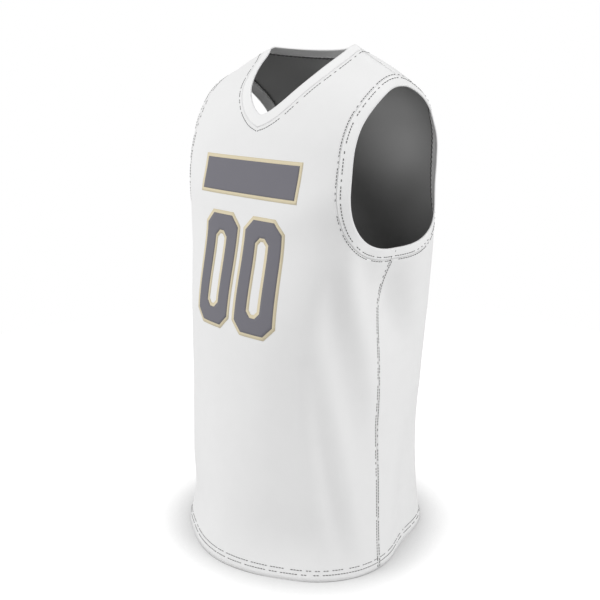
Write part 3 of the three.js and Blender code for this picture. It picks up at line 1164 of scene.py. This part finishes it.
# ------------------------------------------------------------------------ stitches
@dataclass(frozen=True)
class StitchRow:
    """A run of dashes beside an edge, in millimetres."""

    dash: float = 2.9
    gap: float = 1.5
    width: float = 1.0
    height: float = 0.45
    skip: float = 0.2
    jitter: float = 0.35
    crown: float = 0.6


class Needle:
    """Lays dashes of thread along lines of the form and joins them in one mesh."""

    def __init__(self, form: BodyForm, seed: int = 7) -> None:
        """Starts with no dashes.

        Args:
            form: the body form.
            seed: start of the small unevenness of the dashes.
        """
        self.form = form
        self.random = np.random.default_rng(seed)
        self.points: List[Grid] = []
        self.faces: List[Tuple[int, ...]] = []

    def sew(self, line: Grid, side: int, lift: float, row: StitchRow, zigzag: float = 0.0) -> None:
        """Lays one row of dashes.

        Args:
            line: places of the row, close together.
            side: 1 for the wearer's left, -1 for the right.
            lift: height over the middle of the cloth, below 0 on the inside.
            row: sizes of the dashes.
            zigzag: half width by which the dashes swing from side to side.
        """
        points = self.form.lay(line[:, 0], line[:, 1], side, lift) / MM
        normals = self.form.outward(line[:, 0], line[:, 1])
        normals[:, 0] *= side
        run = np.concatenate(([0.0], np.cumsum(np.linalg.norm(np.diff(points, axis=0), axis=1))))
        place, swing = row.gap, 1
        while place + row.dash < run[-1]:
            jitter = self.random.uniform(-row.jitter, row.jitter)
            a = np.array([np.interp(place, run, points[:, k]) for k in range(3)])
            b = np.array([np.interp(place + row.dash + jitter, run, points[:, k]) for k in range(3)])
            n = np.array([np.interp(place, run, normals[:, k]) for k in range(3)])
            place += row.dash + row.gap + jitter
            swing = -swing
            if self.random.random() < row.skip:
                continue
            across = np.cross(n, b - a)
            across /= np.linalg.norm(across)
            self._dash(a - across * zigzag * swing, b + across * zigzag * swing, n, row)

    def _dash(self, a: Grid, b: Grid, n: Grid, row: StitchRow) -> None:
        """Adds one dash, a low bar with six sides.

        Args:
            a: its start.
            b: its end.
            n: the way out of the cloth.
            row: its sizes.
        """
        along = (b - a) / np.linalg.norm(b - a)
        across = np.cross(n, along)
        first = 8 * len(self.points)
        half, tall = row.width / 2, row.height
        crown = half * row.crown
        profile = ((-half, 0.0), (-crown, tall), (crown, tall), (half, 0.0))
        ring = [end + across * x + n * h for end in (a, b) for x, h in profile]
        self.points.append(np.array(ring))
        q = [first + i for i in range(8)]
        self.faces += [(q[0], q[1], q[5], q[4]), (q[1], q[2], q[6], q[5]), (q[2], q[3], q[7], q[6]),
                       (q[3], q[0], q[4], q[7]), (q[3], q[2], q[1], q[0]), (q[4], q[5], q[6], q[7])]

    def finish(self, name: str, wardrobe: Wardrobe, finish: Finish, slot: Finish) -> bpy.types.Object:
        """Joins all dashes in one dressed object that rides on the jersey.

        Args:
            name: its name.
            wardrobe: the finishes.
            finish: the thread.
            slot: not used.

        Returns:
            The object.
        """
        obj = new_mesh(name, np.concatenate(self.points) * MM, self.faces)
        obj.data.polygons.foreach_set("use_smooth", [False] * len(obj.data.polygons))
        only(obj)
        bpy.ops.object.mode_set(mode="EDIT")
        bpy.ops.mesh.select_all(action="SELECT")
        bpy.ops.mesh.normals_make_consistent(inside=False)
        bpy.ops.object.mode_set(mode="OBJECT")
        wardrobe.dress(obj, finish)
        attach(obj, "root")
        LOG.info("%s: %d faces", obj.name, len(obj.data.polygons))
        return obj


@dataclass
class Seams:
    """Every row of stitches of the jersey."""

    form: BodyForm
    edges: Edges
    length: float = 746
    outside: float = 0.6
    band_outside: float = 0.9
    neck_row: float = 22.5
    arm_rows: Tuple[float, float] = (12.6, 19.2)
    hem_rows: Tuple[float, float] = (15.0, 9.0)
    side_half: float = 2.2
    inside_band: float = 17.5
    inside_lift: float = -1.0
    inside_shift: float = 1.6
    inside_swing: float = 1.2
    inside_row: StitchRow = StitchRow(dash=2.8, gap=0.5, width=0.9, height=-0.6, skip=0.0)
    neck_samples: int = 150
    arm_samples: int = 160
    hem_samples: int = 200
    side_samples: int = 120

    def neck_line(self, distance: float) -> Grid:
        """Returns a line outside the neck edge, from the V to the centre back."""
        return self.edges.neck_line(2 * np.array(even_steps(self.neck_samples)), distance)

    def arm_line(self, distance: float) -> Grid:
        """Returns a line outside the armhole edge, all round."""
        return self.edges.arm_line(np.array(even_steps(self.arm_samples)), distance)

    def hem_line(self, height: float) -> Grid:
        """Returns a level line above the hem edge, half way round."""
        return np.array([(BACK_STEP * k, -self.length + height) for k in even_steps(self.hem_samples)])

    def side_line(self, shift: float) -> Grid:
        """Places a line beside the side seam, from the hem to the armhole edge.

        Args:
            shift: millimetres behind the seam.

        Returns:
            Its steps and levels.
        """
        top = float(self.edges.arm(np.array([0.5]))[0, 1])
        z = np.array([between(-self.length + 1, top - 1, k) for k in even_steps(self.side_samples)])
        a, _ = self.form.along(np.full(len(z), SEAM_STEP), z)
        return np.stack([SEAM_STEP + shift / np.linalg.norm(a, axis=-1), z], axis=-1)

    def build(self, wardrobe: Wardrobe) -> None:
        """Sews the outside rows in dark thread and the inside seams in two threads.

        Args:
            wardrobe: the finishes.
        """
        outer = Needle(self.form)
        row = StitchRow()
        for side in (1, -1):
            outer.sew(self.neck_line(self.neck_row), side, self.outside, row)
            for distance, lift in zip(self.arm_rows, (self.band_outside, self.outside)):
                outer.sew(self.arm_line(distance), side, lift, row)
            for height in self.hem_rows:
                outer.sew(self.hem_line(height), side, self.outside, row)
            for shift in (-self.side_half, self.side_half):
                outer.sew(self.side_line(shift), side, self.outside, row)
        outer.finish("outside_stitches", wardrobe, Finish.THREAD, Finish.CLOTH)
        for name, finish, seed in (("inside_stitches_dark", Finish.THREAD, 3),
                                   ("inside_stitches_pale", Finish.PALE_THREAD, 5)):
            needle = Needle(self.form, seed)
            shift = self.inside_shift if finish is Finish.THREAD else -self.inside_shift
            for side in (1, -1):
                for line in (self.neck_line, self.arm_line):
                    inside = line(self.inside_band + shift)
                    needle.sew(inside, side, self.inside_lift, self.inside_row, self.inside_swing)
            needle.finish(name, wardrobe, finish, Finish.CLOTH)


# --------------------------------------------------------------------------- studio
@dataclass
class Studio:
    """Floor, light and camera, in metres, degrees and watts."""

    floor_level: float = -0.7468
    floor_radius: float = 1.3
    floor_corners: int = 96
    paint: float = 0.8
    seen_paint: float = 0.4
    # Reach and power of the painted contact shadow that ambient occlusion puts into the floor's glow.
    painted_shadow_reach: float = 0.085
    painted_shadow_power: float = 1.9
    camera_place: Tuple[float, float, float] = (0.9013, -0.8809, -0.0356)
    camera_turn: float = 46.45
    camera_dip: float = 15.24
    lens: float = 50.34
    sensor: float = 36
    world: float = 0.54
    glow: float = 0.78
    lamp_size: float = 1.8
    key_power: float = 50.0
    key_place: Tuple[float, float, float] = (-1.3, -2.2, 1.5)
    fill_power: float = 36.0
    fill_place: Tuple[float, float, float] = (2.3, 0.8, 1.1)
    lamp_aim: Tuple[float, float, float] = (0.0, 0.0, -0.35)

    def floor(self) -> None:
        """Adds the pale floor. Seen directly it reads white; its diffuse part keeps the real shadow, and
        ambient occlusion dims its glow near the jersey as a painted contact shadow.
        """
        bpy.ops.mesh.primitive_circle_add(
            vertices=self.floor_corners, radius=self.floor_radius, fill_type="NGON")
        bpy.ops.transform.translate(value=(0, 0, self.floor_level))
        bpy.ops.object.transform_apply(location=True)
        floor = bpy.context.active_object
        floor.name = "studio_floor"
        material = bpy.data.materials.new("studio_floor")
        material.use_nodes = True
        nodes, links = material.node_tree.nodes, material.node_tree.links
        nodes.clear()
        paint, seen_paint = nodes.new("ShaderNodeBsdfDiffuse"), nodes.new("ShaderNodeBsdfDiffuse")
        paint.inputs["Color"].default_value = (*[self.paint] * 3, 1)
        seen_paint.inputs["Color"].default_value = (*[self.seen_paint] * 3, 1)
        glow = nodes.new("ShaderNodeEmission")
        glow.inputs["Strength"].default_value = self.glow
        # Painted contact shadow: ambient occlusion, raised to a power, dims the glow near the jersey.
        painted_shadow_ao = nodes.new("ShaderNodeAmbientOcclusion")
        painted_shadow_ao.inputs["Distance"].default_value = self.painted_shadow_reach
        shade = nodes.new("ShaderNodeMath")
        shade.operation = "POWER"
        shade.inputs[1].default_value = self.painted_shadow_power
        links.new(painted_shadow_ao.outputs["AO"], shade.inputs[0])
        links.new(shade.outputs[0], glow.inputs["Color"])
        both = nodes.new("ShaderNodeAddShader")
        links.new(seen_paint.outputs[0], both.inputs[0])
        links.new(glow.outputs[0], both.inputs[1])
        seen = nodes.new("ShaderNodeLightPath")
        pick = nodes.new("ShaderNodeMixShader")
        links.new(seen.outputs["Is Camera Ray"], pick.inputs[0])
        links.new(paint.outputs[0], pick.inputs[1])
        links.new(both.outputs[0], pick.inputs[2])
        out = nodes.new("ShaderNodeOutputMaterial")
        links.new(pick.outputs[0], out.inputs["Surface"])
        floor.data.materials.append(material)

    def light(self) -> None:
        """Lights the scene from all round, with two large soft lamps."""
        world = bpy.data.worlds.new("studio")
        bpy.context.scene.world = world
        world.use_nodes = True
        nodes, links = world.node_tree.nodes, world.node_tree.links
        back = nodes["Background"]
        back.inputs["Color"].default_value = (1, 1, 1, 1)
        seen = nodes.new("ShaderNodeLightPath")
        pick = nodes.new("ShaderNodeMath")
        pick.operation = "MULTIPLY_ADD"
        pick.inputs[1].default_value = 1.0 - self.world
        pick.inputs[2].default_value = self.world
        links.new(seen.outputs["Is Camera Ray"], pick.inputs[0])
        links.new(pick.outputs[0], back.inputs["Strength"])
        self.lamp("key", self.key_place, self.key_power)
        self.lamp("fill", self.fill_place, self.fill_power)

    def lamp(self, name: str, place: Tuple[float, float, float], power: float) -> None:
        """Adds one large soft lamp aimed at the jersey.

        Args:
            name: its name.
            place: where it hangs.
            power: its power.
        """
        data = bpy.data.lights.new(name, "AREA")
        data.shape = "DISK"
        data.size = self.lamp_size
        data.energy = power
        lamp = bpy.data.objects.new(name, data)
        lamp.location = place
        x, y, z = (aim - at for aim, at in zip(self.lamp_aim, place))
        lamp.rotation_euler = (math.atan2(math.hypot(x, y), -z), 0, math.atan2(-x, y))
        bpy.context.scene.collection.objects.link(lamp)

    def camera(self) -> None:
        """Adds the camera at the viewing angle."""
        data = bpy.data.cameras.new("camera")
        data.lens = self.lens
        data.sensor_width = self.sensor
        camera = bpy.data.objects.new("camera", data)
        camera.location = self.camera_place
        camera.rotation_euler = (math.radians(90 - self.camera_dip), 0, math.radians(self.camera_turn))
        bpy.context.scene.collection.objects.link(camera)
        bpy.context.scene.camera = camera

    def build(self) -> None:
        """Sets up the whole studio."""
        self.floor()
        self.light()
        self.camera()
        bpy.context.scene.view_settings.view_transform = "Standard"


def main() -> None:
    """Builds the jersey and its studio."""
    logging.basicConfig(level=logging.INFO, format="%(name)s: %(message)s")
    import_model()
    wardrobe = Wardrobe()
    form = BodyForm(SECTIONS, FOLDS)
    edges = Edges(form)
    panels = Panels(form, edges)
    panels.build(wardrobe)
    Bands(form, edges, panels).build(wardrobe)
    Twill(form).build(wardrobe)
    Seams(form, edges).build(wardrobe)
    Studio().build()


if __name__ == "__main__":
    main()
